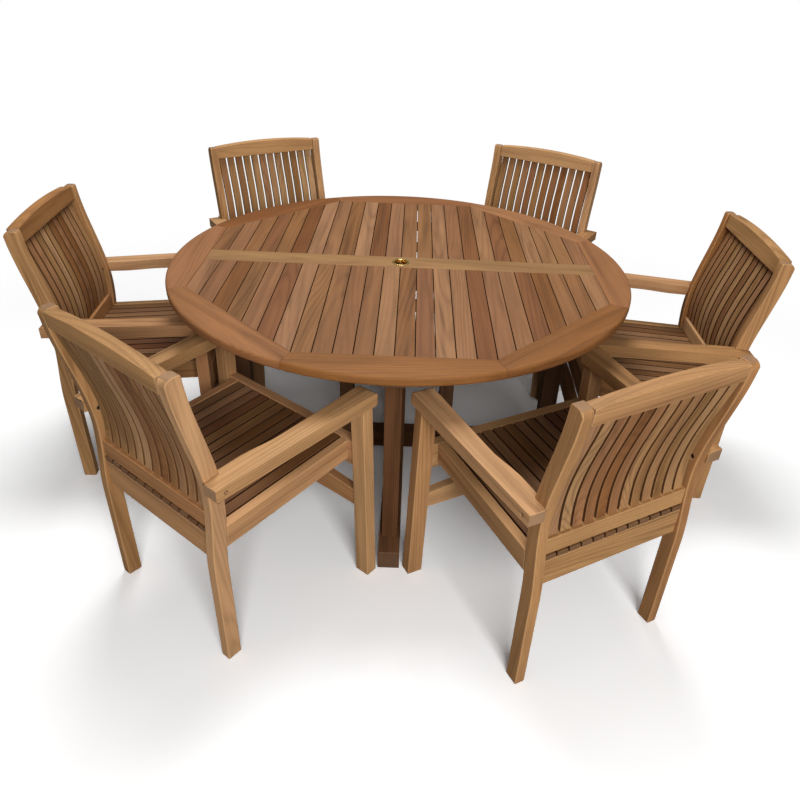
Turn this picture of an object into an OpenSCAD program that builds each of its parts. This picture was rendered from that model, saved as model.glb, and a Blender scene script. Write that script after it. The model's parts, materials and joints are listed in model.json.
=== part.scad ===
// Round slatted teak garden table with a parasol hole, and six slatted teak armchairs round it.
// Origin: on the floor, under the middle of the table. +Z is up, and the table's centre rail lies along X.

/* [Table top] */
// Diameter of the round top
table_d = 1500; // [1300:10:1800]
// Height of the top above the floor
table_h = 740; // [700:5:800]
// Thickness of the rim, the centre rail and the slats
top_t = 28; // [22:1:34]
// Width of the rim at the middle of each of its eight straight inner edges
rim_w = 110; // [95:1:140]
// Radius of the rounded outer edge of the rim
rim_edge_r = 9; // [4:1:10]
// Width of the rail that crosses the middle of the top
centre_rail_w = 89; // [70:1:120]
// Number of slats side by side across the top
slat_count = 24; // [16:2:30]
// Gap between two slats of the top
slat_gap = 2.5; // [2:0.5:8]
// Glue line at the joints between pieces of the rim, and of a chair's seat frame
joint_gap = 0.4; // [0.2:0.1:1]

/* [Parasol hole] */
// Radius of the hole that the pole goes through
pole_hole_r = 22.5; // [16:0.5:26]
// Wall of the brass sleeve
bush_wall = 2.5; // [1.5:0.5:4]
// Width of the sleeve's flange beyond the sleeve
bush_flange_w = 4; // [3:0.5:10]
// Thickness of the flange
bush_flange_t = 2.5; // [1.5:0.5:4]
// Depth that the flange is let into the rail
bush_sink = 1.5; // [0:0.5:3]
// Play round the sleeve, and between any bolt and its hole
fit_gap = 0.3; // [0.2:0.05:0.6]
// Extra radius of the holes that the pole only passes through
pole_slack = 2; // [0:0.5:4]

/* [Table base] */
// Width of the four beams
beam_w = 66; // [56:1:80]
// Height of the two crossed beams on the floor
floor_beam_h = 65; // [50:1:80]
// Reach of the floor beams from the table's middle
floor_beam_reach = 665; // [620:5:720]
// Height of the two crossed beams under the top
top_beam_h = 60; // [45:1:70]
// How far the top beams run on under the rim
beam_on_rim = 15; // [5:1:50]
// Distance of the outer posts from the table's middle
outer_post_r = 565; // [500:5:600]
// Outer posts: size along the beam, and across it
outer_post = [60, 48]; // [40:1:66]
// Distance of the inner posts from the table's middle
inner_post_r = 184; // [140:2:260]
// Inner posts: size along the beam, and across it
inner_post = [50, 66]; // [40:1:66]
// Battens under the slats: width and height
batten = [50, 22]; // [16:1:60]
// Distance of the inner and the outer battens from the centre rail's middle line
batten_y = [250, 480]; // [120:5:560]
// Radius of the bolts that hold the posts
base_bolt_r = 4; // [3:0.5:6]
// Length of those bolts
base_bolt_l = 110; // [80:1:140]

/* [Chair] */
// Height of the rear posts
back_h = 892; // [840:1:980]
// Width over the rear legs
rear_w = 494; // [440:2:600]
// Width over the feet of the front legs
front_w = 654; // [600:2:790]
// Depth over the feet, from front to rear
chair_d = 503; // [440:1:600]
// Rear legs: depth and thickness
rear_leg = [42, 30]; // [24:1:50]
// Front legs: depth and width
front_leg = [38, 48]; // [30:1:60]
// Inward lean of the front legs from foot to arm
front_splay = 20; // [0:1:30]
// Distance that the rear legs bow forwards between the foot and the back
leg_bow = 14; // [0:1:22]
// Height where that bow is greatest
bow_h = 530; // [500:5:560]
// Distance that the top of the back leans behind the feet
back_lean = 47; // [20:1:100]
// Radius of the rounded top of the rear posts
post_top_r = 22; // [8:1:30]

/* [Chair seat] */
// Height of the seat at the back
seat_h = 443; // [410:1:460]
// Slope of the seat, higher at the front
seat_tilt = 3.5; // [0:0.5:6]
// Number of slats in the seat and in the back
chair_slats = 12; // [8:1:14]
// Thickness of the seat's slats
seat_slat_t = 14; // [10:1:18]
// Gap between the seat's slats
seat_slat_gap = 5; // [3:0.5:10]
// Side rails: thickness and height
side_rail = [26, 62]; // [18:1:80]
// Front rail: thickness and height
front_rail = [32, 80]; // [20:1:90]
// Rear rail: thickness and height
rear_rail = [28, 79]; // [20:1:90]
// Front stretcher: thickness, and height at its ends
stretcher = [28, 52]; // [16:1:70]
// Height of the stretcher's lower edge above the floor
stretcher_z = 250; // [150:5:300]
// Rise of the curved upper edge of the stretcher
stretcher_rise = 16; // [0:1:30]
// Bearers under the seat's slats: width and height
bearer = [30, 22]; // [15:1:40]
// Places of the two bearers, as shares of the way from the front rail to the rear
bearer_at = [0.3, 0.65]; // [0.2:0.05:0.8]

/* [Chair back] */
// Thickness of the back's slats
back_slat_t = 12; // [9:1:16]
// Gap between the back's slats
back_slat_gap = 7.5; // [4:0.5:12]
// Crest rail: thickness, and height at its ends
crest = [34, 43]; // [24:1:60]
// Rise of the crest rail's curved top
crest_rise = 12; // [0:1:40]
// Lower back rail: thickness and height
lower_rail = [30, 48]; // [20:1:60]
// Gap between the seat and the lower back rail
seat_back_gap = 1.5; // [1:0.5:20]

/* [Chair arms] */
// Gap between the top of the arms and the beams under the table top
arm_clear = 16; // [10:1:60]
// Fall of the arm's top from front to back
arm_fall = 30; // [0:1:60]
// Thickness of the arm at the front and at the back
arm_t = [40, 34]; // [25:1:50]
// Width of the arm at the front and at the back
arm_w = [62, 44]; // [40:1:80]
// Overhang of the arm beyond the front leg, forwards and sideways
arm_nose = [16, 9]; // [4:1:40]
// Width of the lug in front of the rear post that the arm has on its inner side
arm_lug = 12; // [0:1:18]
// Length of that lug, and of the hollow that it fades into
arm_lug_l = [60, 120]; // [20:5:200]
// Radius of the bolt that holds the arm to the rear post
arm_bolt_r = 3; // [2:0.5:4]

/* [Chair places] */
// Gap between the front feet of two neighbouring chairs, before they are shifted
neighbour_gap = 28; // [10:1:200]
// Gap between a chair's front legs and the table's outer posts, before it is shifted
post_gap = 15; // [0:1:100]
// Right-hand chair: shift round the table, shift outwards and turn
place_1 = [-1.5, 0, -1.5]; // [-60:0.5:60]
// Back right chair: shift round the table, shift outwards and turn
place_2 = [-2.5, 4.5, -1.5]; // [-60:0.5:60]
// Back left chair: shift round the table, shift outwards and turn
place_3 = [3.5, -18, 2.5]; // [-60:0.5:60]
// Left-hand chair: shift round the table, shift outwards and turn
place_4 = [1.5, 2, 4]; // [-60:0.5:60]
// Front left chair: shift round the table, shift outwards and turn
place_5 = [-5, -58, -8]; // [-60:0.5:60]
// Front right chair: shift round the table, shift outwards and turn
place_6 = [1, -9.5, -2]; // [-60:0.5:60]

/* [Hidden] */
TABLE_NODES = ["rim_segments", "centre_rail", "top_slats", "parasol_bush", "slat_battens", "top_beam_x",
    "top_beam_y", "outer_posts", "inner_posts", "floor_beam_x", "floor_beam_y", "base_bolts"];
CHAIR_PARTS = ["rear_legs", "front_legs", "arms", "back_rails", "back_slats", "seat_rails", "seat_slats",
    "arm_bolts"];
places = [place_1, place_2, place_3, place_4, place_5, place_6];

$fn = 96;
eps = 1;                                    // how far a cutting tool runs past what it cuts

teak = "#b98a55";
rim_teak = "#b4814a";
rail_teak = "#c99f68";
dark_teak = "#6b4a30";
brass = "#c9a24a";
steel = "#a8a8a8";

// Table
top_under = table_h - top_t;
opening_r = table_d / 2 - rim_w;            // from the middle to each flat of the eight-sided opening
rim_sides = 8;
beam_under = top_under - top_beam_h;
top_beam_reach = opening_r + beam_on_rim;
slat_pitch = 2 * opening_r / slat_count;
bush_r = pole_hole_r + bush_wall;
bush_flange_r = bush_r + bush_flange_w;
base_bolt_head = [7, 6];                    // radius and height
base_bolt_sink = 10;

// Chair, with its own origin on the floor midway between the rear faces of the rear legs:
// x runs backwards, y runs across and z runs up
bow_foot = 320;                             // height where the rear legs start to bow forwards
bend_end = back_h + 25;                     // the back's curve would run on to this height
rear_in = rear_w / 2 - rear_leg[1];
front_face = -chair_d;
front_leg_rear = front_face + front_leg[0];
rail_rear = front_face + front_rail[0];
back_slat_w = (2 * rear_in - (chair_slats + 1) * back_slat_gap) / chair_slats;
seat_in = rear_w / 2 - side_rail[0];
seat_slat_w = (2 * seat_in - (chair_slats + 1) * seat_slat_gap) / chair_slats;
slat_tail = 4;                              // how far the seat's slats stop short of the legs' rear faces
seat_rear = lean(seat_h) - slat_tail;
bearer_x = [for (share = bearer_at) rail_rear + share * (seat_rear - rail_rear)];
stretcher_inset = 5;                        // of the stretcher behind the front legs' front faces
crest_drop = 3;                             // of the crest rail's ends below the tops of the posts
crest_top = back_h - crest_drop;
crest_under = crest_top - crest[1];
lower_rail_inset = 2;                       // of the lower rail in front of the posts' rear faces
lower_rail_rear = lean(bow_h) - lower_rail_inset;
lower_rail_under = seat_z(lower_rail_rear - lower_rail[0]) + seat_back_gap;
lower_rail_top = lower_rail_under + lower_rail[1];
slat_recess = [6, 12];                      // of the back's slats behind the posts' rear faces, at top and foot
slat_belly = 9;                             // how much further the slats swell forwards at half height
arm_front_z = beam_under - arm_clear;
arm_rear_z = arm_front_z - arm_fall;
arm_tail = 3;                               // how far the arm runs past the rear post
arm_rear = lean(arm_rear_z) + arm_tail;
arm_front = front_face - arm_nose[0];
arm_bolt_z = arm_rear_z - arm_t[1] / 2;
arm_bolt_x = lean(arm_bolt_z) - rear_leg[0] / 2;
arm_corner = 8;                             // radius of the arm's front corners, seen from above
arm_bolt_head = [5, 5];                     // radius and height
arm_bolt_sink = 16;                         // depth of the hole that its head sits in
arm_nut = [5.8, 5];                         // radius over the corners, and height
arm_nut_sink = 10;                          // depth of the hole that the nut sits in
arm_nut_room = 1.2;                         // of that hole round the nut
arm_bolt_tip = 1;                           // how far the bolt runs past the nut

// Chairs round the table
chair_step = 360 / len(places);
feet_r = max((front_w + neighbour_gap) / 2 / tan(chair_step / 2), outer_post_r + outer_post[0] / 2 + post_gap);

// A smooth step from 0 to 1
function ease(t) = t <= 0 ? 0 : t >= 1 ? 1 : t * t * (3 - 2 * t);

// How far the rear faces of the rear legs are behind their feet at height z
function lean(z) = (back_lean + leg_bow) * ease((z - bow_h) / (bend_end - bow_h))
    - leg_bow * ease((z - bow_foot) / (bow_h - bow_foot));

// Height of the top of the seat at distance x from the rear faces of the legs
function seat_z(x) = seat_h - x * tan(seat_tilt);

// Outer and inner face of a front leg at height z
function leg_out(z) = front_w / 2 - front_splay * z / arm_front_z;
function leg_in(z) = leg_out(z) - front_leg[1];

// Points along an arc of radius r about c, from angle a0 to a1
function arc(c, r, a0, a1, steps = 8) =
    [for (i = [0:steps]) let (a = a0 + (a1 - a0) * i / steps) c + r * [cos(a), sin(a)]];

// Share of the arm's length from its rear end
function arm_share(x) = (arm_rear - x) / (arm_rear - arm_front);
function arm_top(x) = arm_rear_z + arm_fall * arm_share(x);
function arm_depth(x) = arm_t[1] + (arm_t[0] - arm_t[1]) * arm_share(x);
function arm_under(x) = arm_top(x) - arm_depth(x);
function arm_out(x) = let (rear = rear_w / 2 + arm_w[1], front = leg_out(arm_front_z) + arm_nose[1])
    rear + (front - rear) * arm_share(x);
function arm_in(x) = let (lug_end = arm_rear - rear_leg[0] - arm_lug_l[0], lug = rear_w / 2 - arm_lug,
    plain = arm_out(x) - arm_w[1] - (arm_w[0] - arm_w[1]) * arm_share(x))
    lug + (plain - lug) * ease((lug_end - x) / arm_lug_l[1]);

// Pulls an outline of x and z across the chair, from y0 to y1
module across(y0, y1) {
    translate([0, y1, 0]) rotate([90, 0, 0]) linear_extrude(y1 - y0) children();
}

// Pulls an outline of y and z along the chair, from x0 to x1
module along(x0, x1) {
    translate([x0, 0, 0]) rotate([90, 0, 90]) linear_extrude(x1 - x0) children();
}

module both_sides() {
    children();
    mirror([0, 1, 0]) children();
}

// ---------- table ----------

// The eight-sided opening that the slats fill
module opening(z0, z1) {
    translate([0, 0, z0]) rotate([0, 0, 180 / rim_sides])
        cylinder(r = opening_r / cos(180 / rim_sides), h = z1 - z0, $fn = rim_sides);
}

module rim_segments() {
    r = table_d / 2;
    profile = concat([[0, 0]], arc([r - rim_edge_r, rim_edge_r], rim_edge_r, -90, 0),
        arc([r - rim_edge_r, top_t - rim_edge_r], rim_edge_r, 0, 90), [[0, top_t]]);
    color(rim_teak) difference() {
        translate([0, 0, top_under]) rotate_extrude($fn = 180) polygon(profile);
        opening(top_under - eps, table_h + eps);
        for (i = [0:rim_sides - 1]) rotate([0, 0, (i + 0.5) * 360 / rim_sides])
            translate([0, -joint_gap / 2, top_under - eps]) cube([r + eps, joint_gap, top_t + 2 * eps]);
    }
}

module centre_rail() {
    color(rail_teak) difference() {
        translate([-opening_r, -centre_rail_w / 2, top_under]) cube([2 * opening_r, centre_rail_w, top_t]);
        translate([0, 0, top_under - eps]) cylinder(r = bush_r + fit_gap, h = top_t + 2 * eps);
        translate([0, 0, table_h - bush_sink]) cylinder(r = bush_flange_r + fit_gap, h = bush_sink + eps);
    }
}

module top_slats() {
    width = slat_pitch - slat_gap;
    color(teak) intersection() {
        opening(top_under, table_h);
        for (side = [-1, 1], i = [0:slat_count - 1])
            translate([-opening_r + slat_pitch * i + slat_gap / 2,
                side < 0 ? -opening_r : centre_rail_w / 2, top_under])
                cube([width, opening_r - centre_rail_w / 2, top_t]);
    }
}

module parasol_bush() {
    sleeve_l = top_t - bush_sink - eps;
    color(brass) difference() {
        union() {
            translate([0, 0, table_h - bush_sink]) cylinder(r = bush_flange_r, h = bush_flange_t);
            translate([0, 0, table_h - bush_sink - sleeve_l]) cylinder(r = bush_r, h = sleeve_l + bush_sink);
        }
        translate([0, 0, top_under - eps]) cylinder(r = pole_hole_r, h = top_t + bush_flange_t + 2 * eps);
    }
}

module slat_battens() {
    reach = opening_r - joint_gap;
    color(dark_teak) intersection() {
        opening(top_under - batten[1], top_under);
        for (y = batten_y, s = [-1, 1], side = [-1, 1])
            translate([side < 0 ? -reach : beam_w / 2, s * y - batten[0] / 2, top_under - batten[1]])
                cube([reach - beam_w / 2, batten[0], batten[1]]);
    }
}

// A beam along x, with half its height cut away where its partner crosses it
module lapped_beam(reach, height, notch_top) {
    difference() {
        translate([-reach, -beam_w / 2, 0]) cube([2 * reach, beam_w, height]);
        translate([-beam_w / 2, -beam_w / 2 - eps, notch_top ? height / 2 : -eps])
            cube([beam_w, beam_w + 2 * eps, height / 2 + eps]);
    }
}

module top_beam_x() {
    color(dark_teak) difference() {
        translate([0, 0, beam_under]) lapped_beam(top_beam_reach, top_beam_h, true);
        pole_passage();
    }
}

module top_beam_y() {
    color(dark_teak) difference() {
        translate([0, 0, beam_under]) rotate([0, 0, 90]) lapped_beam(top_beam_reach, top_beam_h, false);
        pole_passage();
    }
}

module pole_passage() {
    translate([0, 0, beam_under - eps]) cylinder(r = pole_hole_r + pole_slack, h = top_beam_h + 2 * eps);
}

// One post on each arm of the cross, with a hole for its bolt in the foot
module posts(distance, size) {
    for (a = [0:90:270]) rotate([0, 0, a]) difference() {
        translate([distance - size[0] / 2, -size[1] / 2, floor_beam_h])
            cube([size[0], size[1], beam_under - floor_beam_h]);
        translate([distance, 0, 0]) cylinder(r = base_bolt_r + fit_gap, h = base_bolt_sink + base_bolt_l + eps);
    }
}

module outer_posts() { color(dark_teak) posts(outer_post_r, outer_post); }

module inner_posts() { color(dark_teak) posts(inner_post_r, inner_post); }

// Holes for the bolts that come up through one floor beam
module base_bolt_holes() {
    for (x = [-outer_post_r, -inner_post_r, inner_post_r, outer_post_r]) translate([x, 0, -eps]) {
        cylinder(r = base_bolt_r + fit_gap, h = floor_beam_h + 2 * eps);
        cylinder(r = base_bolt_head[0] + fit_gap, h = base_bolt_sink + eps);
    }
}

module floor_beam_x() {
    color(dark_teak) difference() {
        lapped_beam(floor_beam_reach, floor_beam_h, true);
        base_bolt_holes();
    }
}

// The upper beam of the floor cross, with the socket that the foot of the pole stands in
module floor_beam_y() {
    color(dark_teak) difference() {
        rotate([0, 0, 90]) lapped_beam(floor_beam_reach, floor_beam_h, false);
        rotate([0, 0, 90]) base_bolt_holes();
        translate([0, 0, -eps]) cylinder(r = pole_hole_r, h = floor_beam_h + 2 * eps);
    }
}

module base_bolts() {
    color(steel) for (a = [0:90:270], r = [inner_post_r, outer_post_r]) rotate([0, 0, a]) translate([r, 0, 0]) {
        translate([0, 0, base_bolt_sink - base_bolt_head[1]]) cylinder(r = base_bolt_head[0], h = base_bolt_head[1]);
        translate([0, 0, base_bolt_sink]) cylinder(r = base_bolt_r, h = base_bolt_l);
    }
}

// ---------- chair ----------

// Side view of a board that follows the bend of the back from height z0 to z1; its rear face lies
// rear[0] and rear[1] in front of the posts' rear faces at top and foot, and swells forwards between
module bent_outline(z0, z1, rear, thickness, belly = 0, steps = 24) {
    face = [for (i = [0:steps]) let (share = i / steps, z = z0 + (z1 - z0) * share)
        [lean(z) - rear[1] - (rear[0] - rear[1]) * share - belly * sin(180 * share), z]];
    polygon(concat(face, [for (i = [steps:-1:0]) face[i] - [thickness, 0]]));
}

// Side view of a rear leg: upright at the foot, bowed forwards at the seat, leaning back above it,
// and rounded at the top
module rear_leg_outline(steps = 28) {
    d = rear_leg[0];
    z_round = back_h - post_top_r;
    tip = lean(back_h);
    nose_r = post_top_r / 3;
    heights = [for (i = [0:steps]) bow_foot + (z_round - bow_foot) * i / steps];
    polygon(concat([[0, 0]], [for (z = heights) [lean(z), z]],
        arc([tip - post_top_r, z_round], post_top_r, 15, 90),
        arc([tip - d + nose_r, back_h - nose_r], nose_r, 90, 165, 4),
        [for (i = [steps:-1:0]) [lean(heights[i]) - d, heights[i]]], [[-d, 0]]));
}

module rear_leg_blank() { across(rear_in, rear_w / 2) rear_leg_outline(); }

// Moves a shape that starts at z = 0 onto the bolt's axis, at distance y from the chair's middle
module on_bolt(y) {
    translate([arm_bolt_x, y, arm_bolt_z]) rotate([-90, 0, 0]) children();
}

module arm_bolt_hole() {
    on_bolt(rear_in - eps) cylinder(r = arm_bolt_r + fit_gap, h = rear_leg[1] + arm_w[0] + eps, $fn = 32);
}

module rear_legs() {
    color(teak) both_sides() difference() {
        rear_leg_blank();
        arm_bolt_hole();
        on_bolt(rear_in - eps) cylinder(r = arm_nut[0] + arm_nut_room, h = arm_nut_sink + eps, $fn = 32);
    }
}

module front_leg_blank() {
    intersection() {
        along(front_face, front_leg_rear) polygon([[leg_in(0), 0], [leg_out(0), 0],
            [leg_out(arm_front_z), arm_front_z], [leg_in(arm_front_z), arm_front_z]]);
        across(0, front_w) polygon([[front_face, 0], [front_leg_rear, 0],
            [front_leg_rear, arm_under(front_leg_rear)], [front_face, arm_under(front_face)]]);
    }
}

module front_legs() { color(teak) both_sides() front_leg_blank(); }

// Plan of the right arm: straight outside, with a lug before the rear post and a hollow on the inside
module arm_plan(steps = 16) {
    corner = arm_corner;
    lug_rear = arm_rear - arm_tail - rear_leg[0] / 2;
    polygon(concat([[arm_rear, rear_w / 2], [lug_rear, rear_w / 2], [lug_rear, rear_w / 2 - arm_lug]],
        [for (i = [0:steps]) let (x = lug_rear + (arm_front + corner - lug_rear) * i / steps) [x, arm_in(x)]],
        arc([arm_front + corner, arm_in(arm_front) + corner], corner, 255, 180, 4),
        arc([arm_front + corner, arm_out(arm_front) - corner], corner, 180, 90, 4),
        [[arm_rear, arm_out(arm_rear)]]));
}

// Side view of an arm, with a rounded front end
module arm_side() {
    r = min(arm_nose[0], arm_depth(arm_front) / 2 - eps);
    x = arm_front + r;
    polygon(concat([[arm_rear, arm_top(arm_rear)]], arc([x, arm_top(x) - r], r, 90, 180),
        arc([x, arm_under(x) + r], r, 180, 270), [[arm_rear, arm_under(arm_rear)]]));
}

module arms() {
    color(teak) both_sides() difference() {
        intersection() {
            linear_extrude(table_h) arm_plan();
            across(0, front_w) arm_side();
        }
        rear_leg_blank();
        arm_bolt_hole();
        on_bolt(arm_out(arm_bolt_x) - arm_bolt_sink)
            cylinder(r = arm_bolt_head[0] + fit_gap, h = arm_bolt_sink + arm_w[0], $fn = 32);
    }
}

// Each bolt runs from the arm's outer side through the post to a nut on its inner side
module arm_bolts() {
    head_under = arm_out(arm_bolt_x) - arm_bolt_sink;
    nut_face = rear_in + arm_nut_sink;
    tip = nut_face - arm_nut[1] - arm_bolt_tip;
    color(steel) both_sides() {
        on_bolt(head_under) cylinder(r = arm_bolt_head[0], h = arm_bolt_head[1], $fn = 32);
        on_bolt(tip) cylinder(r = arm_bolt_r, h = head_under + arm_bolt_head[1] / 2 - tip, $fn = 32);
        on_bolt(nut_face - arm_nut[1]) cylinder(r = arm_nut[0], h = arm_nut[1], $fn = 6);
    }
}

// The crest rail has an arched top; the lower rail is straight
module back_rails() {
    rise_r = (rear_in * rear_in + crest_rise * crest_rise) / 2 / max(crest_rise, eps);
    rise_a = asin(rear_in / rise_r);
    color(teak) {
        intersection() {
            across(-rear_in, rear_in)
                bent_outline(crest_under, crest_top + crest_rise, [0, 0], crest[0], steps = 6);
            along(-rear_leg[0] - leg_bow, back_lean + eps) polygon(concat([[rear_in, crest_under], [rear_in, crest_top]],
                arc([0, crest_top + crest_rise - rise_r], rise_r, 90 - rise_a, 90 + rise_a, 20),
                [[-rear_in, crest_top], [-rear_in, crest_under]]));
        }
        translate([lower_rail_rear - lower_rail[0], -rear_in, lower_rail_under])
            cube([lower_rail[0], 2 * rear_in, lower_rail[1]]);
    }
}

module back_slats() {
    color(teak) for (i = [0:chair_slats - 1]) {
        y = -rear_in + back_slat_gap + i * (back_slat_w + back_slat_gap);
        across(y, y + back_slat_w)
            bent_outline(lower_rail_top, crest_under, slat_recess, back_slat_t, slat_belly);
    }
}

// Side view of a piece whose top follows the slope of the seat, drop below its surface
module sloped_outline(x0, x1, drop, height) {
    polygon([[x0, seat_z(x0) - drop], [x1, seat_z(x1) - drop],
        [x1, seat_z(x1) - drop - height], [x0, seat_z(x0) - drop - height]]);
}

// Front view of a rail between the front legs, from height z0 to z1
module leg_rail_outline(z0, z1) {
    polygon([[-leg_in(z0), z0], [leg_in(z0), z0], [leg_in(z1), z1], [-leg_in(z1), z1]]);
}

module seat_rails() {
    front_top = seat_z(rail_rear);
    stretcher_x = front_face + stretcher_inset;
    half = leg_in(stretcher_z + stretcher[1]);
    arch_r = (half * half + stretcher_rise * stretcher_rise) / 2 / max(stretcher_rise, eps);
    arch_a = asin(half / arch_r);
    arch_z = stretcher_z + stretcher[1] + stretcher_rise - arch_r;
    color(teak) {
        both_sides() difference() {
            across(seat_in, rear_w / 2) sloped_outline(-rear_leg[0], rail_rear + joint_gap, 0, side_rail[1]);
            rear_leg_blank();
            front_leg_blank();
        }
        along(front_face, rail_rear) leg_rail_outline(front_top - front_rail[1], front_top);
        across(-rear_in, rear_in) sloped_outline(seat_rear, seat_rear - rear_rail[0], seat_slat_t, rear_rail[1]);
        along(stretcher_x, stretcher_x + stretcher[0]) polygon(concat(
            [[-leg_in(stretcher_z), stretcher_z], [leg_in(stretcher_z), stretcher_z]],
            arc([0, arch_z], arch_r, 90 - arch_a, 90 + arch_a, 20)));
        for (x = bearer_x) across(-seat_in + joint_gap, seat_in - joint_gap)
            sloped_outline(x - bearer[0] / 2, x + bearer[0] / 2, seat_slat_t, bearer[1]);
    }
}

module seat_slats() {
    color(teak) difference() {
        for (i = [0:chair_slats - 1]) {
            y = -seat_in + seat_slat_gap + i * (seat_slat_w + seat_slat_gap);
            across(y, y + seat_slat_w) sloped_outline(seat_rear, rail_rear, 0, seat_slat_t);
        }
        both_sides() front_leg_blank();
    }
}

module chair_part(part) {
    if (part == "rear_legs") rear_legs();
    if (part == "front_legs") front_legs();
    if (part == "arms") arms();
    if (part == "back_rails") back_rails();
    if (part == "back_slats") back_slats();
    if (part == "seat_rails") seat_rails();
    if (part == "seat_slats") seat_slats();
    if (part == "arm_bolts") arm_bolts();
}

// Puts a chair in its place round the table, facing it
module in_place(i) {
    bearing = i * chair_step + places[i][0];
    rotate([0, 0, bearing]) translate([feet_r + chair_d + places[i][1], 0, 0])
        rotate([0, 0, places[i][2] - places[i][0]]) children();
}

rim_segments();
centre_rail();
top_slats();
parasol_bush();
slat_battens();
top_beam_x();
top_beam_y();
outer_posts();
inner_posts();
floor_beam_x();
floor_beam_y();
base_bolts();
for (i = [0:len(places) - 1], part = CHAIR_PARTS)
    in_place(i) chair_part(part);
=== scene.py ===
import json
import math
import random

import bmesh
import bpy
import numpy as np
from mathutils import Matrix, Vector


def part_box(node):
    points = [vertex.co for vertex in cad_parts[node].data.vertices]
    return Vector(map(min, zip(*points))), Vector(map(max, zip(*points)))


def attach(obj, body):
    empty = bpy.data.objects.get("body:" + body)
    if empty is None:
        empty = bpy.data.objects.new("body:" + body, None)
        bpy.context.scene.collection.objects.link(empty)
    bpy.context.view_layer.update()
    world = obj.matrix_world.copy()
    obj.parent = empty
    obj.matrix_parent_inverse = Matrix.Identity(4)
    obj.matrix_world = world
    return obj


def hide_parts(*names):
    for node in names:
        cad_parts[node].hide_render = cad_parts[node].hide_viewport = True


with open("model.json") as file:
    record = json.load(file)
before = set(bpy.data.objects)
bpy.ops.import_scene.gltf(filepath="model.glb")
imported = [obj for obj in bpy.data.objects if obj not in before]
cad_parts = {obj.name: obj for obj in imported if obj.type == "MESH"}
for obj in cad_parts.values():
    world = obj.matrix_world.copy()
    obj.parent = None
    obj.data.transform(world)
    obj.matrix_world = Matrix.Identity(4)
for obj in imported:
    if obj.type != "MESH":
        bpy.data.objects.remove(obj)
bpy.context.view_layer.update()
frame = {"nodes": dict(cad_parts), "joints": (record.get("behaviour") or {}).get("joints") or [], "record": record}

# ---------- The view and the studio ----------
# The set stands on a seamless white floor. It is seen by someone who stands close to the front
# pair of chairs and looks down over the table, with the camera held a little crooked.

EYE = Vector((0.0317, -2.1995, 1.613))
TURNED_RIGHT, LOOKS_DOWN, ROLLED = (math.radians(angle) for angle in (0.685, 32.805, 2.629))
LENS, SENSOR = 31.33, 36.0
OFF_CENTRE = -0.0149

forward = Vector((
    math.sin(TURNED_RIGHT) * math.cos(LOOKS_DOWN),
    math.cos(TURNED_RIGHT) * math.cos(LOOKS_DOWN),
    -math.sin(LOOKS_DOWN),
))
level_right = Vector((math.cos(TURNED_RIGHT), -math.sin(TURNED_RIGHT), 0))
level_up = level_right.cross(forward)
camera_right = math.cos(ROLLED) * level_right + math.sin(ROLLED) * level_up
camera_up = math.cos(ROLLED) * level_up - math.sin(ROLLED) * level_right

lens = bpy.data.cameras.new("camera")
lens.lens = LENS
lens.sensor_width = SENSOR
lens.shift_x = OFF_CENTRE
camera = bpy.data.objects.new("camera", lens)
camera.matrix_world = Matrix((camera_right, camera_up, -forward)).transposed().to_4x4()
camera.location = EYE
bpy.context.scene.collection.objects.link(camera)
bpy.context.scene.camera = camera
bpy.context.scene.view_settings.view_transform = "Standard"


def add_node(tree, kind, inputs=None, **settings):
    """A shader node with its settings, and with each input joined to a socket or set to a value."""
    made = tree.nodes.new("ShaderNode" + kind)
    for name, value in settings.items():
        setattr(made, name, value)
    for name, value in (inputs or {}).items():
        if isinstance(value, bpy.types.NodeSocket):
            tree.links.new(value, made.inputs[name])
        else:
            made.inputs[name].default_value = value
    return made


FLOOR_SIDE = 90.0
FLOOR_SEEN = (1.20, 1.20, 1.20, 1)          # so bright that the sheet burns out to white in full light
FLOOR_BOUNCE = (0.20, 0.20, 0.20, 1)        # what it throws back on the furniture
SHADE_REACH = 1.3, 2.8                      # the sheet is evenly lit beyond these distances

bpy.ops.mesh.primitive_plane_add(size=FLOOR_SIDE, location=(0, 0, 0))
floor = bpy.context.object
floor.name = "studio_floor"
paper = bpy.data.materials.new("white studio paper")
paper.use_nodes = True
tree = paper.node_tree
tree.nodes.clear()
ray = add_node(tree, "LightPath")
seen = add_node(tree, "BsdfDiffuse", {"Color": FLOOR_SEEN})
bounced = add_node(tree, "BsdfDiffuse", {"Color": FLOOR_BOUNCE})
even = add_node(tree, "Emission", {"Color": (1, 1, 1, 1), "Strength": 1.0})
spot = add_node(tree, "TexCoord")
away = add_node(tree, "VectorMath", {0: spot.outputs["Object"]}, operation="LENGTH")
far = add_node(
    tree, "MapRange",
    {"Value": away.outputs["Value"], "From Min": SHADE_REACH[0], "From Max": SHADE_REACH[1]},
    interpolation_type="SMOOTHSTEP")
backdrop = add_node(tree, "MixShader", {
    0: far.outputs["Result"], 1: seen.outputs["BSDF"], 2: even.outputs["Emission"]})
either = add_node(tree, "MixShader", {
    0: ray.outputs["Is Camera Ray"], 1: bounced.outputs["BSDF"], 2: backdrop.outputs["Shader"]})
add_node(tree, "OutputMaterial", {"Surface": either.outputs["Shader"]})
floor.data.materials.append(paper)

SKY_STRENGTH = 0.18
sky = bpy.data.worlds.new("white studio")
bpy.context.scene.world = sky
sky.use_nodes = True
tree = sky.node_tree
tree.nodes.clear()
ray = add_node(tree, "LightPath")
soft = add_node(tree, "Background", {"Color": (1, 1, 1, 1), "Strength": SKY_STRENGTH})
white = add_node(tree, "Background", {"Color": (1, 1, 1, 1), "Strength": 1.0})
either = add_node(tree, "MixShader", {
    0: ray.outputs["Is Camera Ray"], 1: soft.outputs["Background"], 2: white.outputs["Background"]})
add_node(tree, "OutputWorld", {"Surface": either.outputs["Shader"]})


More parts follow.
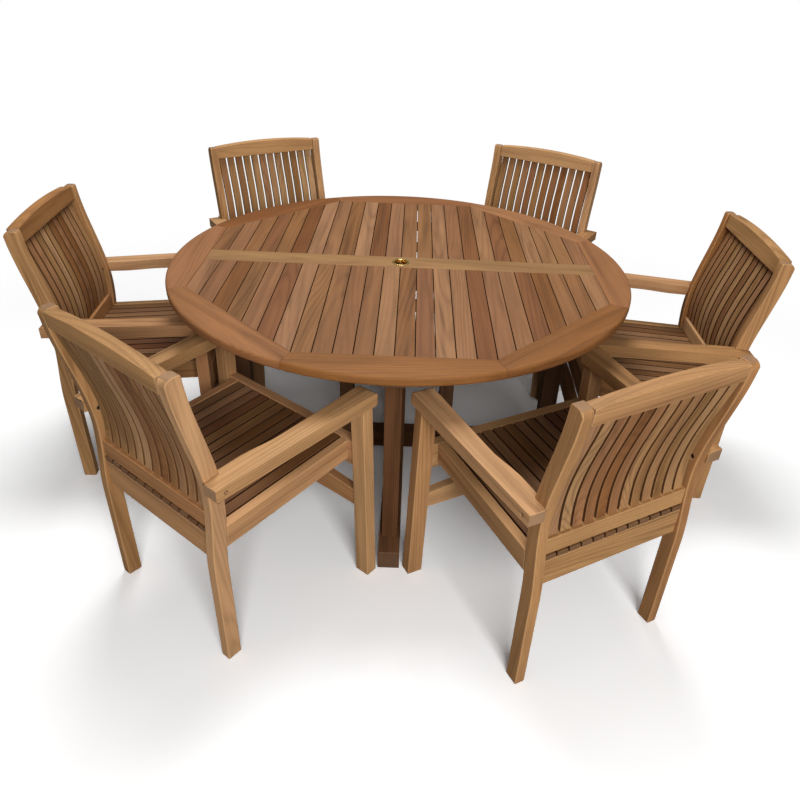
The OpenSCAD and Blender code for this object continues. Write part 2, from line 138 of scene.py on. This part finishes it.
LIT_POINT = Vector((0, 0, 0.6))              # the lights face this point over the floor's middle


def add_softbox(name, place, side, power):
    """A square area light that faces the set, with its side in metres and its power in watts."""
    light = bpy.data.lights.new(name, "AREA")
    light.shape = "SQUARE"
    light.size = side
    light.energy = power
    box = bpy.data.objects.new(name, light)
    box.location = place
    box.rotation_mode = "QUATERNION"
    box.rotation_quaternion = (LIT_POINT - Vector(place)).to_track_quat("-Z", "Y")
    bpy.context.scene.collection.objects.link(box)


add_softbox("high light", place=(-0.2, 1.0, 3.9), side=2.0, power=112)
add_softbox("front light", place=(0.9, -4.6, 2.7), side=2.2, power=205)

# ---------- The rim of the table ----------
# Eight teak segments are sawn from wide planks and mitred round the slats. Their outer edge is
# moulded to a soft round, and the glued mitres show only as fine lines.


def pick(*pieces):
    """Deselects everything else, and makes the first of the pieces the active one."""
    bpy.ops.object.select_all(action="DESELECT")
    for piece in pieces:
        piece.select_set(True)
    bpy.context.view_layer.objects.active = pieces[0]


def select_edges(piece, wanted):
    """Leaves the piece in edit mode with the edges selected for which wanted(edge) is true."""
    pick(piece)
    bpy.ops.object.mode_set(mode="EDIT")
    bpy.ops.mesh.select_mode(type="EDGE")
    bpy.ops.mesh.select_all(action="DESELECT")
    shape = bmesh.from_edit_mesh(piece.data)
    shape.normal_update()
    for edge in shape.edges:
        if len(edge.link_faces) == 2 and wanted(edge):
            edge.select_set(True)
    bmesh.update_edit_mesh(piece.data)


def round_over(piece, radius, wanted, segments=4):
    """Rounds the edges for which wanted(edge) is true, as a router does."""
    select_edges(piece, wanted)
    bpy.ops.mesh.bevel(offset=radius, segments=segments, affect="EDGES", clamp_overlap=True)
    bpy.ops.object.mode_set(mode="OBJECT")


SMOOTH_BELOW = math.radians(32)              # flatter edges than this are shaded smooth
SHARP_ABOVE = math.radians(38)               # sharper edges than this are eased


def shade_smooth(piece):
    """Shades curved faces smooth and leaves real edges crisp."""
    pick(piece)
    bpy.ops.object.shade_smooth_by_angle(angle=SMOOTH_BELOW)


def ease_arrises(piece, width, segments=2):
    """Takes every sharp arris off with sandpaper. The new narrow faces get material slot 1."""
    pick(piece)
    bevel = piece.modifiers.new("arrises", "BEVEL")
    bevel.width = width
    bevel.segments = segments
    bevel.limit_method = "ANGLE"
    bevel.angle_limit = SHARP_ABOVE
    bevel.use_clamp_overlap = False
    bevel.harden_normals = True
    bevel.material = 1
    shade_smooth(piece)
    bpy.ops.object.modifier_apply(modifier=bevel.name)


def islands(mesh):
    """For each vertex, the number of the loose board that it belongs to."""
    ends = np.empty(len(mesh.edges) * 2, int)
    mesh.edges.foreach_get("vertices", ends)
    first, second = ends.reshape(-1, 2).T
    board = np.arange(len(mesh.vertices))
    while True:
        lowest = board.copy()
        np.minimum.at(lowest, first, board[second])
        np.minimum.at(lowest, second, board[first])
        lowest = lowest[lowest]
        if (lowest == board).all():
            return board
        board = lowest


def corners(mesh, per_face):
    """A value for each face, repeated for each of its corners."""
    sides = np.empty(len(mesh.polygons), int)
    mesh.polygons.foreach_get("loop_total", sides)
    return np.repeat(np.asarray(per_face, np.float32), sides)


LOG_LENGTH = 30.0                            # each board lies somewhere along this stretch
PITH_ASIDE, PITH_BELOW = (-0.07, 0.07), (0.02, 0.11)        # from the board's middle to the log's pith
RUN_ASIDE, RUN_BELOW = (-0.035, 0.035), (-0.03, 0.03)       # how far the pith drifts for each metre
FACING = 0.8                                 # the cosine within which a face counts as an end or a side


def saw_from_plank(piece, seed, finish):
    """Gives each board of the piece its own stretch of log to be sawn from, and marks its ends, its
    narrow sides and its eased arrises. The log's length runs along the board. The marks are
    attributes: grain is a place in the log, board a number from 0 to 1, the others are masks."""
    mesh = piece.data
    place = np.empty(len(mesh.vertices) * 3)
    mesh.vertices.foreach_get("co", place)
    place = place.reshape(-1, 3)
    normal = np.empty(len(mesh.polygons) * 3)
    mesh.polygons.foreach_get("normal", normal)
    normal = normal.reshape(-1, 3)
    face_slot = np.empty(len(mesh.polygons), int)
    mesh.polygons.foreach_get("material_index", face_slot)
    face_vertex = np.array([face.vertices[0] for face in mesh.polygons])

    board = islands(mesh)
    found = [(np.round(place[board == number].mean(0), 3).tolist(), number) for number in np.unique(board)]
    chance = random.Random(seed)
    grain = np.empty_like(place)
    tint = np.empty(len(place))
    end_grain = np.zeros(len(mesh.polygons))
    side = np.zeros(len(mesh.polygons))
    for _, number in sorted(found):
        own = board == number
        middle = place[own].mean(0)
        spread, axes = np.linalg.eigh(np.cov((place[own] - middle).T))
        axes = axes[:, ::-1].T
        axes = np.array([axis * math.copysign(1, axis[np.abs(axis).argmax()]) for axis in axes])
        along, wide, thick = ((place[own] - middle) @ axes.T).T
        from_pith = chance.uniform(*PITH_ASIDE), chance.uniform(*PITH_BELOW)
        slant = chance.uniform(*RUN_ASIDE), chance.uniform(*RUN_BELOW)
        grain[own] = np.stack([
            along + chance.uniform(0, LOG_LENGTH),
            wide + from_pith[0] + slant[0] * along,
            thick + from_pith[1] + slant[1] * along,
        ], 1)
        tint[own] = chance.random()
        own_faces = own[face_vertex]
        end_grain[own_faces & (np.abs(normal @ axes[0]) > FACING)] = 1
        # the narrow sides: the finish paints shade on them, as in the gaps between boards
        side[own_faces & (np.abs(normal @ axes[1]) > FACING)] = 1

    mark = mesh.attributes.new("grain", "FLOAT_VECTOR", "POINT")
    mark.data.foreach_set("vector", grain.astype(np.float32).ravel())
    mark = mesh.attributes.new("board", "FLOAT", "POINT")
    mark.data.foreach_set("value", tint.astype(np.float32))
    # the arris mask marks the eased edges, which the finish paints pale: partly sanded teak, partly a painted
    # highlight
    for name, mask in (("arris", face_slot == 1), ("end_grain", end_grain), ("side", side)):
        mark = mesh.attributes.new(name, "FLOAT", "CORNER")
        mark.data.foreach_set("value", corners(mesh, mask))
    mesh.polygons.foreach_set("material_index", np.zeros(len(mesh.polygons), np.int32))
    mesh.materials.clear()
    mesh.materials.append(finish)
    mesh.update()


def stretched_noise(tree, vector, scale, detail=2.0):
    """Noise that is drawn out along the grain: scale gives cells for each metre along, and across."""
    stretched = add_node(tree, "Mapping", {"Vector": vector, "Scale": (scale[0], scale[1], scale[1])})
    return add_node(tree, "TexNoise", {"Vector": stretched.outputs["Vector"], "Scale": 1.0, "Detail": detail})


def math_node(tree, operation, *values):
    """The result of a sum on sockets and plain numbers."""
    made = add_node(tree, "Math", dict(enumerate(values)), operation=operation)
    return made.outputs["Value"]


def ramp(tree, value, low, high, to_low=0.0, to_high=1.0):
    """The value's stretch from low to high, drawn out over another range and clamped."""
    made = add_node(tree, "MapRange", {
        "Value": value, "From Min": low, "From Max": high, "To Min": to_low, "To Max": to_high})
    return made.outputs["Result"]


def mix_colour(tree, share, first, second):
    """A share of the second colour in the first."""
    made = tree.nodes.new("ShaderNodeMix")
    made.data_type = "RGBA"
    for socket, value in ((0, share), (6, first), (7, second)):
        if isinstance(value, bpy.types.NodeSocket):
            tree.links.new(value, made.inputs[socket])
        else:
            made.inputs[socket].default_value = value
    return made.outputs[2]


RING_WIDTH = 0.0062                          # one year's growth


def make_teak_figure():
    """The figure of teak as a node group: growth rings, dark streaks, fibres and pores in the log's
    own coordinates, one tint for each board, pale arrises that are partly sanded and partly a painted
    highlight, greyed end grain and painted shade on the narrow sides of boards."""
    group = bpy.data.node_groups.new("teak figure", "ShaderNodeTree")
    for name, kind, value in (
        ("Pale", "NodeSocketColor", (0.5, 0.3, 0.15, 1)),
        ("Warm", "NodeSocketColor", (0.4, 0.2, 0.08, 1)),
        ("Dark", "NodeSocketColor", (0.15, 0.07, 0.03, 1)),
        ("End", "NodeSocketColor", (0.25, 0.17, 0.11, 1)),
        ("Rings", "NodeSocketFloat", 0.3),
        ("Streaks", "NodeSocketFloat", 0.3),
        # how pale the arrises are painted: partly sanded teak, partly a painted highlight
        ("Wear", "NodeSocketFloat", 0.3),
        # how strongly painted shade darkens the narrow sides of boards
        ("Grime", "NodeSocketFloat", 0.0),
    ):
        group.interface.new_socket(name, in_out="INPUT", socket_type=kind).default_value = value
    for name, kind in (("Colour", "NodeSocketColor"), ("Roughness", "NodeSocketFloat"),
                       ("Height", "NodeSocketFloat")):
        group.interface.new_socket(name, in_out="OUTPUT", socket_type=kind)
    given = group.nodes.new("NodeGroupInput").outputs
    marks = {name: add_node(group, "Attribute", attribute_name=name).outputs
             for name in ("grain", "board", "arris", "end_grain", "side")}
    log = marks["grain"]["Vector"]
    board = marks["board"]["Fac"]

    # rings: distance from a pith that wanders, so a flat sawn face shows long arches
    drift = stretched_noise(group, log, (1.3, 7.0), 1.5)
    centred = add_node(group, "VectorMath", {0: drift.outputs["Color"], 1: (0.5, 0.5, 0.5)},
                       operation="SUBTRACT")
    drifted = add_node(group, "VectorMath", {0: centred.outputs["Vector"], 1: (0, 0.034, 0.034), 2: log},
                       operation="MULTIPLY_ADD")
    axis = add_node(group, "SeparateXYZ", {"Vector": drifted.outputs["Vector"]}).outputs
    across = math_node(group, "ADD", math_node(group, "MULTIPLY", axis["Y"], axis["Y"]),
                       math_node(group, "MULTIPLY", axis["Z"], axis["Z"]))
    years = math_node(group, "MULTIPLY", math_node(group, "SQRT", across), 2 * math.pi / RING_WIDTH)
    uneven = stretched_noise(group, log, (0.7, 30.0), 2.0)
    years = math_node(group, "ADD", years, math_node(group, "MULTIPLY", uneven.outputs["Fac"], 9.0))
    wave = math_node(group, "MULTIPLY_ADD", math_node(group, "SINE", years), 0.5, 0.5)
    late_wood = math_node(group, "POWER", wave, 2.5)
    patch = stretched_noise(group, log, (0.9, 16.0), 2.0)
    ring_depth = ramp(group, patch.outputs["Fac"], 0.35, 0.65, 0.25, 1.0)
    late_wood = math_node(group, "MULTIPLY", late_wood, ring_depth)

    # streaks: broad dark bands of heartwood; fibres and pores: fine short lines
    streak = ramp(group, stretched_noise(group, log, (0.8, 34.0), 3.0).outputs["Fac"], 0.47, 0.72)
    cloud = ramp(group, stretched_noise(group, log, (3.0, 16.0), 2.0).outputs["Fac"], 0.3, 0.7, -0.5, 0.5)
    fibre = ramp(group, stretched_noise(group, log, (8.0, 330.0), 3.0).outputs["Fac"], 0.3, 0.7)
    pore = ramp(group, stretched_noise(group, log, (34.0, 1500.0), 1.0).outputs["Fac"], 0.62, 0.74)

    # colour: a tint for the board, then the figure over it
    second = add_node(group, "TexWhiteNoise", {"W": math_node(group, "MULTIPLY", board, 91.7)},
                      noise_dimensions="1D").outputs["Value"]
    colour = mix_colour(group, ramp(group, board, 0.1, 0.95), given["Pale"], given["Warm"])
    depth = math_node(group, "ADD", math_node(group, "MULTIPLY", late_wood, given["Rings"]),
                      math_node(group, "MULTIPLY", streak, given["Streaks"]))
    depth = math_node(group, "MULTIPLY_ADD", pore, 0.16, depth)
    depth = math_node(group, "MINIMUM", math_node(group, "MULTIPLY_ADD", fibre, 0.10, depth), 0.9)
    colour = mix_colour(group, depth, colour, given["Dark"])
    lightness = math_node(group, "MULTIPLY_ADD", second, 0.42, 0.78)
    lightness = math_node(group, "MULTIPLY_ADD", cloud, 0.24, lightness)
    strength = ramp(group, second, 0.0, 1.0, 1.06, 0.92)
    shade = add_node(group, "HueSaturation", {
        "Hue": 0.5, "Saturation": strength, "Value": lightness, "Color": colour})
    # pale arrises: partly sanded teak, partly a painted highlight along the edges
    colour = mix_colour(group, math_node(group, "MULTIPLY", marks["arris"]["Fac"], given["Wear"]),
                        shade.outputs["Color"], given["Pale"])
    colour = mix_colour(group, math_node(group, "MULTIPLY", marks["end_grain"]["Fac"], 0.75),
                        colour, given["End"])
    # painted shade: the narrow sides of the boards, which face each other across the gaps, are darkened towards
    # Dark
    colour = mix_colour(group, math_node(group, "MULTIPLY", marks["side"]["Fac"], given["Grime"]),
                        colour, given["Dark"])

    rough = math_node(group, "MULTIPLY_ADD", late_wood, -0.08, 0.56)
    rough = math_node(group, "MULTIPLY_ADD", pore, 0.12, rough)
    height = math_node(group, "MULTIPLY_ADD", fibre, 0.35, math_node(group, "MULTIPLY", late_wood, 0.5))
    height = math_node(group, "MULTIPLY_ADD", pore, -0.6, height)
    out = group.nodes.new("NodeGroupOutput")
    for name, value in (("Colour", colour), ("Roughness", rough), ("Height", height)):
        group.links.new(value, out.inputs[name])
    return group


teak_figure = make_teak_figure()


def make_teak(name, pale, warm, dark, end, rings, streaks, wear_and_highlight, gap_shade=0.0):
    """A teak finish from linear colours and from how strongly its figure, its painted arris highlight and its
    painted shade between boards show.
    """
    finish = bpy.data.materials.new(name)
    finish.use_nodes = True
    tree = finish.node_tree
    surface = tree.nodes["Principled BSDF"]
    surface.inputs["Specular IOR Level"].default_value = 0.14
    figure = tree.nodes.new("ShaderNodeGroup")
    figure.node_tree = teak_figure
    for socket, value in (("Pale", pale), ("Warm", warm), ("Dark", dark), ("End", end)):
        figure.inputs[socket].default_value = (*value, 1)
    for socket, value in (("Rings", rings), ("Streaks", streaks), ("Wear", wear_and_highlight), ("Grime", gap_shade)):
        figure.inputs[socket].default_value = value
    bump = add_node(tree, "Bump", {"Strength": 0.35, "Distance": 0.0006, "Height": figure.outputs["Height"]})
    tree.links.new(figure.outputs["Colour"], surface.inputs["Base Color"])
    tree.links.new(figure.outputs["Roughness"], surface.inputs["Roughness"])
    tree.links.new(bump.outputs["Normal"], surface.inputs["Normal"])
    return finish


RIM_SEGMENTS = 8
RIM_FACETS = 240                             # round the whole outer edge
RIM_ROUND = 0.009
MITRE_GAP = 0.0004
RIM_ARRIS = 0.0006

rim_teak = make_teak(
    "rim teak", pale=(0.31, 0.135, 0.047), warm=(0.245, 0.093, 0.029), dark=(0.10, 0.034, 0.011),
    end=(0.20, 0.10, 0.05), rings=0.30, streaks=0.38, wear_and_highlight=0.25)

rim_low, rim_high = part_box("rim_segments")
rim_radius = rim_high.x
flat_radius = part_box("centre_rail")[1].x
half_turn = math.pi / RIM_SEGMENTS
bpy.ops.object.select_all(action="DESELECT")
bpy.ops.mesh.primitive_cylinder_add(vertices=RIM_FACETS, radius=rim_radius, depth=rim_high.z - rim_low.z,
                                    location=(0, 0, (rim_low.z + rim_high.z) / 2))
segment = bpy.context.object
bpy.ops.object.transform_apply(location=True)
bpy.ops.object.mode_set(mode="EDIT")
cuts = [((flat_radius, 0, 0), (1, 0, 0))]
for side in (1, -1):
    away = Vector((math.sin(half_turn), -side * math.cos(half_turn), 0))
    cuts.append((away * MITRE_GAP / 2, away))
for through, keep in cuts:
    bpy.ops.mesh.select_all(action="SELECT")
    bpy.ops.mesh.bisect(plane_co=through, plane_no=keep, use_fill=True, clear_inner=True)
bpy.ops.object.mode_set(mode="OBJECT")


def on_outer_edge(edge):
    level = abs(edge.verts[0].co.z - edge.verts[1].co.z) < 1e-5
    return level and all(v.co.to_2d().length > rim_radius - 1e-4 for v in edge.verts)


round_over(segment, RIM_ROUND, on_outer_edge, segments=7)
segment.data.materials.append(rim_teak)
segment.data.materials.append(rim_teak)
ease_arrises(segment, RIM_ARRIS, segments=1)
ring = []
for number in range(RIM_SEGMENTS):
    mesh = segment.data.copy()
    mesh.transform(Matrix.Rotation(number * 2 * half_turn, 4, "Z"))
    ring.append(bpy.data.objects.new("rim", mesh))
    bpy.context.scene.collection.objects.link(ring[-1])
bpy.data.objects.remove(segment)
pick(*ring)
bpy.ops.object.join()
rim = bpy.context.object
rim.name = "rim"
saw_from_plank(rim, seed=11, finish=rim_teak)
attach(rim, "table")
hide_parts("rim_segments")

# ---------- The centre rail ----------
# One pale quarter sawn plank crosses the top from edge to edge. It holds the ends of the slats
# and is bored in the middle for the brass sleeve.

MERGED = 2e-5                                # corners closer than this are one
FLAT = math.radians(0.4)                     # faces flatter than this are one plane


def plane_boards(node, name):
    """The solids of a CAD node as planed boards: a copy of its mesh, merged, with whole flat faces."""
    mesh = frame["nodes"][node].data.copy()
    piece = bpy.data.objects.new(name, mesh)
    bpy.context.scene.collection.objects.link(piece)
    pick(piece)
    if mesh.has_custom_normals:
        bpy.ops.mesh.customdata_custom_splitnormals_clear()
    bpy.ops.object.mode_set(mode="EDIT")
    bpy.ops.mesh.select_all(action="SELECT")
    bpy.ops.mesh.remove_doubles(threshold=MERGED)
    bpy.ops.mesh.dissolve_limited(angle_limit=FLAT)
    bpy.ops.object.mode_set(mode="OBJECT")
    mesh.materials.clear()
    mesh.materials.append(None)
    mesh.materials.append(None)
    mesh.polygons.foreach_set("material_index", np.zeros(len(mesh.polygons), np.int32))
    return piece


def finish_boards(piece, node, body, teak, seed, arris):
    """Sands a planed piece, gives it its grain and finish, and lets it stand for its CAD node."""
    ease_arrises(piece, arris)
    saw_from_plank(piece, seed, teak)
    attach(piece, body)
    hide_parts(node)


rail_teak = make_teak(
    "rail teak", pale=(0.37, 0.215, 0.098), warm=(0.32, 0.175, 0.072), dark=(0.15, 0.066, 0.026),
    end=(0.22, 0.13, 0.07), rings=0.24, streaks=0.26, wear_and_highlight=0.2)
centre_rail = plane_boards("centre_rail", "centre_rail_board")
finish_boards(centre_rail, "centre_rail", "table", rail_teak, seed=5, arris=0.0008)

# ---------- The slats of the top ----------
# Narrow boards lie side by side with an even gap, in two rows between the rail and the rim.
# They come from many planks, so each one has its own shade and figure.

# painted shade: the narrow sides of the slats are darkened, as in the gaps between them
top_teak = make_teak(
    "top teak", pale=(0.29, 0.140, 0.056), warm=(0.205, 0.078, 0.026), dark=(0.065, 0.023, 0.008),
    end=(0.18, 0.10, 0.05), rings=0.30, streaks=0.42, wear_and_highlight=0.15, gap_shade=0.8)
top_slats = plane_boards("top_slats", "top_boards")
finish_boards(top_slats, "top_slats", "table", top_teak, seed=23, arris=0.0010)

# ---------- The brass sleeve ----------
# A turned brass sleeve lines the parasol hole. Its flange sits in a shallow recess in the rail
# and is softened at the lip, where the pole goes in.

BRASS_WALL = 0.0025
BRASS_STEPS = 96                             # round the sleeve
FLANGE_T = 0.0025
LIP_ROUND = 0.0009

bush_low, bush_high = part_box("parasol_bush")
hole = next(m for m in frame["record"]["mounts"] if m["name"] == "parasol_hole")
bore_r = hole["dims"]["r_mm"] / 1000
flange_r = bush_high.x

brass = bpy.data.materials.new("polished brass")
brass.use_nodes = True
tree = brass.node_tree
surface = tree.nodes["Principled BSDF"]
surface.inputs["Metallic"].default_value = 1.0
place = add_node(tree, "TexCoord").outputs["Object"]
smudge = add_node(tree, "TexNoise", {"Vector": place, "Scale": 90.0, "Detail": 3.0}).outputs["Fac"]
turning = add_node(tree, "Mapping", {"Vector": place, "Scale": (60, 60, 9000)})
marks = add_node(tree, "TexNoise", {"Vector": turning.outputs["Vector"], "Scale": 1.0}).outputs["Fac"]
tone = mix_colour(tree, ramp(tree, smudge, 0.35, 0.75), (0.90, 0.66, 0.27, 1), (0.66, 0.43, 0.14, 1))
tree.links.new(tone, surface.inputs["Base Color"])
tree.links.new(ramp(tree, smudge, 0.3, 0.7, 0.16, 0.34), surface.inputs["Roughness"])
dents = add_node(tree, "Bump", {"Strength": 0.15, "Distance": 0.0002, "Height": marks})
tree.links.new(dents.outputs["Normal"], surface.inputs["Normal"])


def select_faces(piece, wanted):
    """In edit mode, selects the faces for which wanted(face) is true and no others."""
    shape = bmesh.from_edit_mesh(piece.data)
    for face in shape.faces:
        face.select_set(wanted(face))
    bmesh.update_edit_mesh(piece.data)


def round_the_axis(face):
    """True for a level face whose middle is on the sleeve's axis."""
    return abs(face.normal.z) > 0.9 and face.calc_center_median().to_2d().length < 1e-4


def on_lip(edge):
    """True on the sharp edges at the top of the sleeve."""
    high = min(v.co.z for v in edge.verts) > bush_high.z - LIP_ROUND / 2
    return high and edge.calc_face_angle(0) > math.radians(60)


bpy.ops.object.select_all(action="DESELECT")
bpy.ops.mesh.primitive_cylinder_add(vertices=BRASS_STEPS, radius=flange_r, depth=FLANGE_T,
                                    location=(0, 0, bush_high.z - FLANGE_T / 2))
bush = bpy.context.object
bush.name = "brass_sleeve"
bpy.ops.object.transform_apply(location=True)
bpy.ops.object.mode_set(mode="EDIT")
bpy.ops.mesh.select_mode(type="FACE")
bpy.ops.mesh.select_all(action="DESELECT")
select_faces(bush, lambda face: abs(face.normal.z) > 0.9)
bpy.ops.mesh.inset(thickness=flange_r - bore_r - BRASS_WALL, use_individual=True)
select_faces(bush, lambda face: round_the_axis(face) and face.normal.z < 0)
down = bush_low.z - bush_high.z + FLANGE_T
bpy.ops.mesh.extrude_region_move(TRANSFORM_OT_translate={"value": (0, 0, down)})
select_faces(bush, round_the_axis)
bpy.ops.mesh.inset(thickness=BRASS_WALL, use_individual=True)
bpy.ops.mesh.bridge_edge_loops()
bpy.ops.object.mode_set(mode="OBJECT")
bush.data.materials.append(brass)
round_over(bush, LIP_ROUND, on_lip, segments=3)
shade_smooth(bush)
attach(bush, "table")
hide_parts("parasol_bush")

# ---------- Battens, top beams and posts ----------
# Under the top, short battens hold the slats together. The top rests on two crossed beams, and
# each beam on two square outer posts and two thick inner posts.

# painted shade: the base's teak is made darker than the top's, to stand in for the shade under the table
base_teak_in_painted_shade = make_teak(
    "base teak", pale=(0.20, 0.093, 0.040), warm=(0.14, 0.058, 0.023), dark=(0.045, 0.018, 0.008),
    end=(0.11, 0.062, 0.035), rings=0.36, streaks=0.50, wear_and_highlight=0.25)
for seed, node in enumerate(("slat_battens", "top_beam_x", "top_beam_y", "outer_posts", "inner_posts"), 40):
    piece = plane_boards(node, node + "_boards")
    finish_boards(piece, node, "table", base_teak_in_painted_shade, seed, arris=0.0018)

# ---------- The floor cross ----------
# Two heavy beams lie on the ground and cross in a halving joint under the middle of the table.
# The upper one is bored for the foot of the parasol pole.

for seed, node in enumerate(("floor_beam_x", "floor_beam_y"), 50):
    piece = plane_boards(node, node + "_board")
    finish_boards(piece, node, "table", base_teak_in_painted_shade, seed, arris=0.0025)

# ---------- Bolts of the base ----------
# A steel bolt comes up through the floor cross into the foot of each post. Its round head
# is sunk in a counterbore under the beam.

steel = bpy.data.materials.new("aged steel")
steel.use_nodes = True
tree = steel.node_tree
surface = tree.nodes["Principled BSDF"]
surface.inputs["Metallic"].default_value = 1.0
place = add_node(tree, "TexCoord").outputs["Object"]
blotch = add_node(tree, "TexNoise", {"Vector": place, "Scale": 260.0, "Detail": 4.0}).outputs["Fac"]
tone = mix_colour(tree, ramp(tree, blotch, 0.4, 0.7), (0.13, 0.115, 0.10, 1), (0.055, 0.046, 0.038, 1))
tree.links.new(tone, surface.inputs["Base Color"])
tree.links.new(ramp(tree, blotch, 0.3, 0.7, 0.28, 0.5), surface.inputs["Roughness"])
pits = add_node(tree, "Bump", {"Strength": 0.2, "Distance": 0.0002, "Height": blotch})
tree.links.new(pits.outputs["Normal"], surface.inputs["Normal"])


def make_bolts(node, name, body, arris):
    """The solids of a CAD node as steel bolts with softened edges, in place of the node."""
    bolts = plane_boards(node, name)
    ease_arrises(bolts, arris)
    mesh = bolts.data
    mesh.materials.clear()
    mesh.polygons.foreach_set("material_index", np.zeros(len(mesh.polygons), np.int32))
    mesh.materials.append(steel)
    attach(bolts, body)
    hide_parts(node)


make_bolts("base_bolts", "base_bolt_set", "table", arris=0.0006)

# ---------- The armchairs ----------
# Each chair is jointed from solid teak: raked rear posts, splayed front legs, a framed seat of
# narrow slats and a back of slats that are sawn to an S. Every chair is cut from other planks.

# painted light: the teak of the chair frames is made paler than the slats' teak, to stand in for the light from
# above on the crests and arms
chair_teak_with_painted_light = make_teak(
    "chair teak", pale=(0.56, 0.315, 0.142), warm=(0.39, 0.175, 0.062), dark=(0.11, 0.042, 0.015),
    end=(0.27, 0.165, 0.095), rings=0.30, streaks=0.40, wear_and_highlight=0.45)
# painted shade: the back and seat slats are also darkened on their narrow sides, in the gaps between them
slat_teak = make_teak(
    "chair slat teak", pale=(0.42, 0.235, 0.100), warm=(0.25, 0.100, 0.034), dark=(0.085, 0.032, 0.012),
    end=(0.22, 0.12, 0.06), rings=0.30, streaks=0.42, wear_and_highlight=0.45, gap_shade=0.85)
# painted shade: the seat slats get a much darker teak than the rest of the chair, to stand in for the shade that
# falls on the seat
seat_teak_in_painted_shade = make_teak(
    "seat slat teak", pale=(0.24, 0.120, 0.050), warm=(0.135, 0.052, 0.019), dark=(0.050, 0.019, 0.008),
    end=(0.17, 0.090, 0.045), rings=0.30, streaks=0.42, wear_and_highlight=0.30, gap_shade=0.85)

ARM_OUTER_ROUND, ARM_INNER_ROUND = 0.010, 0.005
CREST_ROUND = 0.010

CHAIR_BOARDS = (                             # node, name of the piece, material slot, finish, arris
    ("_rear_legs", "_posts", "teak_chair", chair_teak_with_painted_light, 0.0030),
    ("_front_legs", "_splayed_legs", "teak_chair", chair_teak_with_painted_light, 0.0026),
    ("_arms", "_armrests", "teak_chair", chair_teak_with_painted_light, 0.0020),
    ("_back_rails", "_crest_and_rail", "teak_chair", chair_teak_with_painted_light, 0.0020),
    ("_back_slats", "_back_boards", "teak_chair_slats", slat_teak, 0.0014),
    ("_seat_rails", "_seat_frame", "teak_chair", chair_teak_with_painted_light, 0.0020),
    ("_seat_slats", "_seat_boards", "teak_chair_slats", seat_teak_in_painted_shade, 0.0014),
)


def outer_arm_edge(edge, out):
    """True on the edge between an arm's outer side and its top or its nose."""
    side = [face for face in edge.link_faces if face.normal.dot(out) > 0.9]
    other = [face for face in edge.link_faces if abs(face.normal.dot(out)) < 0.5 and face.normal.z > -0.3]
    return len(side) == 1 and len(other) == 1


def inner_arm_edge(edge, out):
    """True on the edge between an arm's top and its inner side."""
    side = [face for face in edge.link_faces if face.normal.dot(out) < -0.5]
    other = [face for face in edge.link_faces if face.normal.z > 0.8]
    return len(side) == 1 and len(other) == 1


def round_arms(arms, across):
    """Rounds both arms, more along the outside and the nose than along the inside."""
    reach = [v.co.dot(across) for v in arms.data.vertices]
    middle = across * (min(reach) + max(reach)) / 2
    for out in (across, -across):
        for radius, wanted, segments in (
            (ARM_OUTER_ROUND, outer_arm_edge, 5),
            (ARM_INNER_ROUND, inner_arm_edge, 3),
        ):
            round_over(arms, radius, lambda edge: (edge.verts[0].co - middle).dot(out) > 0
                       and wanted(edge, out), segments)


def crest_edge(edge, level):
    """True on the long upper edges of the crest rail, above a level."""
    above = min(v.co.z for v in edge.verts) > level
    top = [face for face in edge.link_faces if face.normal.z > 0.8]
    side = [face for face in edge.link_faces if abs(face.normal.z) < 0.6]
    return above and len(top) == 1 and len(side) == 1


pulled = {joint["child"]: Vector(joint["axis"]) for joint in frame["joints"]}
for number, (body, backwards) in enumerate(sorted(pulled.items()), 1):
    for seed, (node, name, slot, teak, arris) in enumerate(CHAIR_BOARDS, 100 * number):
        piece = plane_boards(body + node, body + name)
        if node == "_arms":
            round_arms(piece, across=Vector((-backwards.y, backwards.x, 0)))
        if node == "_back_rails":
            low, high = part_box(body + node)
            round_over(piece, CREST_ROUND, lambda edge: crest_edge(edge, (low.z + high.z) / 2), 5)
        finish_boards(piece, body + node, body, teak, seed, arris)
    make_bolts(body + "_arm_bolts", body + "_bolts", body, arris=0.0005)
